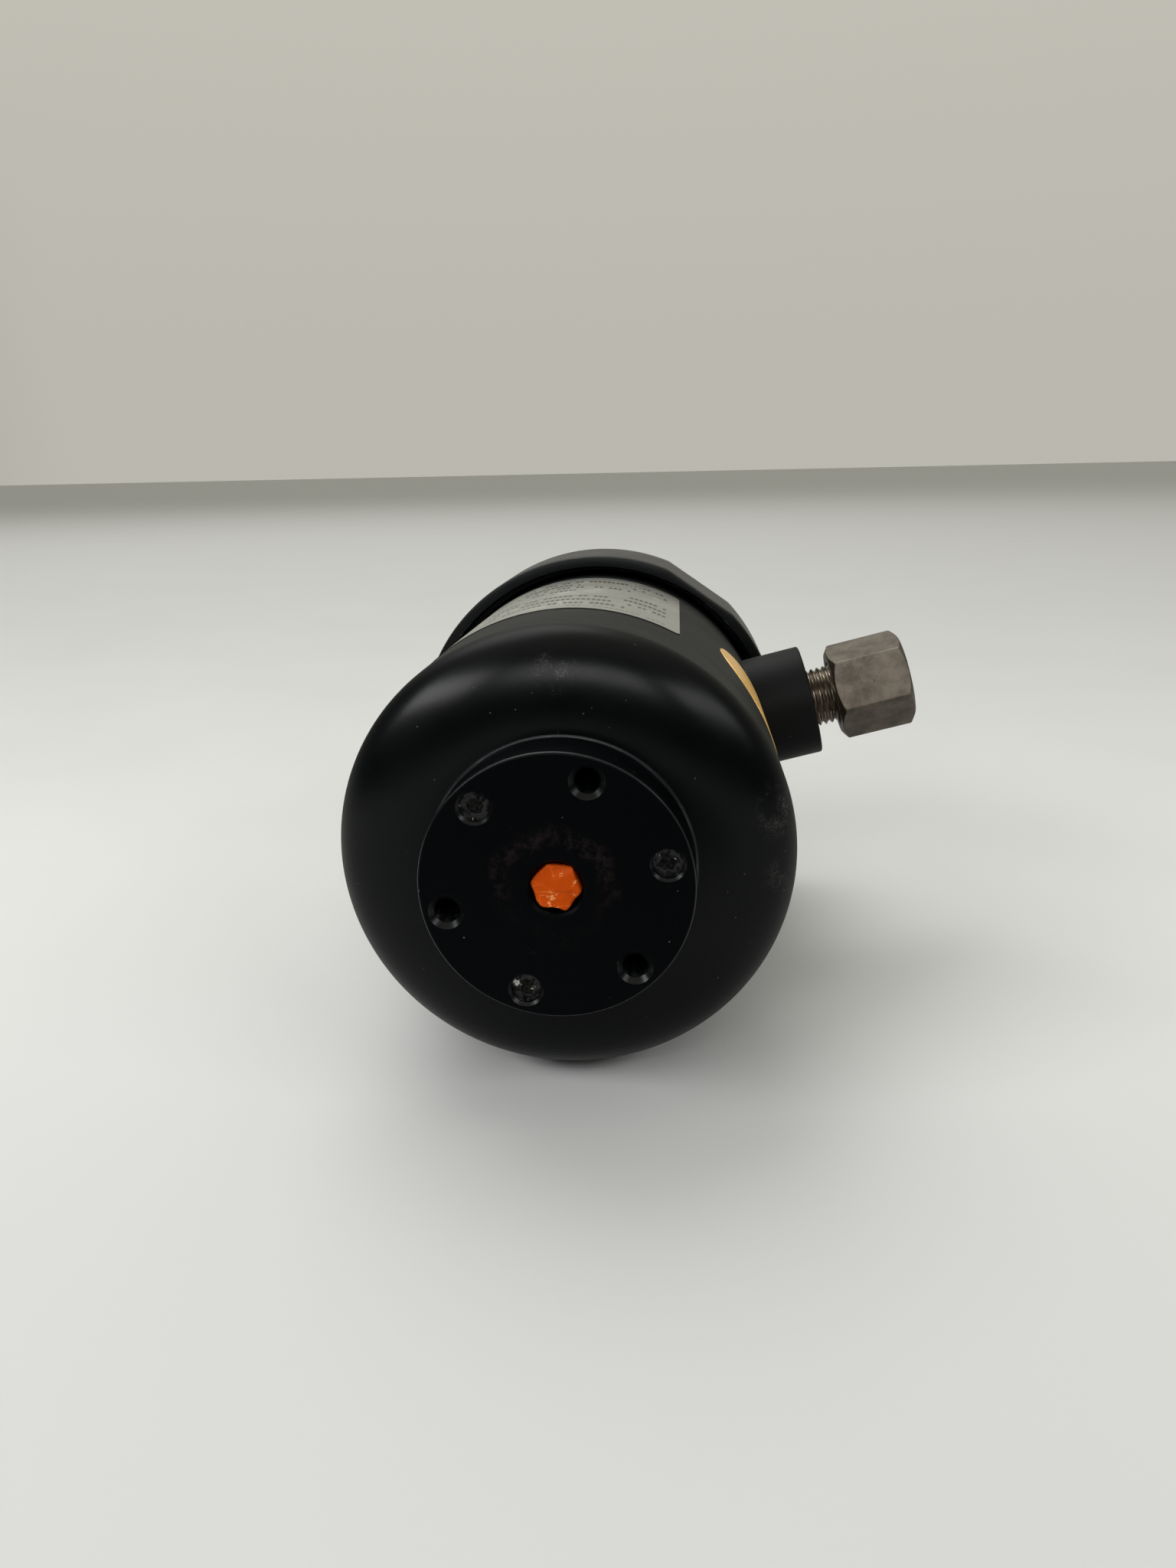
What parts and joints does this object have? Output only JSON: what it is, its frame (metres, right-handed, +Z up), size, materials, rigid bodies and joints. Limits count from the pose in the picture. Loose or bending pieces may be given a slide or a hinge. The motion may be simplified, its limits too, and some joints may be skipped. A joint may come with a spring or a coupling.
{
  "type": "compressed air filter",
  "caption": "Cylindrical in-line compressed air filter: domed black pressure housing with a drilled pad and plugged port, side tube fitting, ring-nut closure and pleated element.",
  "frame": {"origin": "centre of the pad face, where the pad's hole circle and the central port are centred", "axes": "+Y runs along the housing from the pad face to the closure, +Z is up with the filter lying on its side, and +X is the side that the tube fitting points to"},
  "size_m": [0.1178, 0.137, 0.089],
  "materials": {
    "black_housing": "satin black anodised aluminium with light wear",
    "black_collar": "satin black anodised aluminium",
    "black_cover": "satin black anodised aluminium",
    "black_steel": "blackened steel with dried sealant",
    "nickel": "dull nickel plating on brass",
    "orange_plastic": "soft orange plastic with scuffs",
    "silver_label": "satin silver foil label",
    "gold_label": "gold foil sticker",
    "rubber": "black nitrile rubber",
    "element_plastic": "moulded glass-filled nylon",
    "steel": "bright zinc-plated steel",
    "filter_media": "off-white pleated microfibre sheet",
    "acetal": "natural acetal"
  },
  "bodies": {
    "housing": {"housing": "black_housing", "blanking_screws": "black_steel", "rating_label": "silver_label", "round_label": "gold_label", "outlet_seat": "acetal", "seat_o_ring": "rubber", "inlet_stud": "nickel", "boss_o_ring": "rubber"},
    "closure": {"end_cover": "black_cover", "cover_o_ring": "rubber", "tie_rod": "steel", "front_cap": "element_plastic", "rear_cap": "element_plastic", "outer_sleeve": "steel", "pleated_media": "filter_media", "core_tube": "steel", "rear_gasket": "rubber", "clamp_washer": "steel", "retaining_nut": "steel"},
    "slip_washer": {"slip_washer": "acetal"},
    "collar": {"collar": "black_collar"},
    "ferrule": {"ferrule": "nickel"},
    "tube_nut": {"tube_nut": "nickel"},
    "port_plug": {"port_plug": "orange_plastic"}
  },
  "joints": [
    {"name": "closure_withdraw", "type": "slide", "parent": "housing", "child": "closure", "axis": [0, 1, 0], "range_m": [0, 0.105]},
    {"name": "collar_travel", "type": "slide", "parent": "closure", "child": "slip_washer", "axis": [0, 1, 0], "range_m": [0, 0.0121]},
    {"name": "collar_turn", "type": "hinge", "parent": "slip_washer", "child": "collar", "pos_m": [0, 0.12, 0], "axis": [0, 1, 0], "range_deg": [0, 2160]},
    {"name": "tube_nut_travel", "type": "slide", "parent": "housing", "child": "ferrule", "axis": [0.9699, 0, 0.2436], "range_m": [0, 0.0095]},
    {"name": "tube_nut_turn", "type": "hinge", "parent": "ferrule", "child": "tube_nut", "pos_m": [0.06304, 0.092, 0.01583], "axis": [0.9699, 0, 0.2436], "range_deg": [0, 2520]},
    {"name": "port_plug_pull", "type": "slide", "parent": "housing", "child": "port_plug", "axis": [0, -1, 0], "range_m": [0, 0.012]}
  ],
  "couplings": [
    {"joint": "collar_travel", "follows": "collar_turn", "m_per_rad": 0.00031831},
    {"joint": "tube_nut_travel", "follows": "tube_nut_turn", "m_per_rad": 0.00021279}
  ]
}
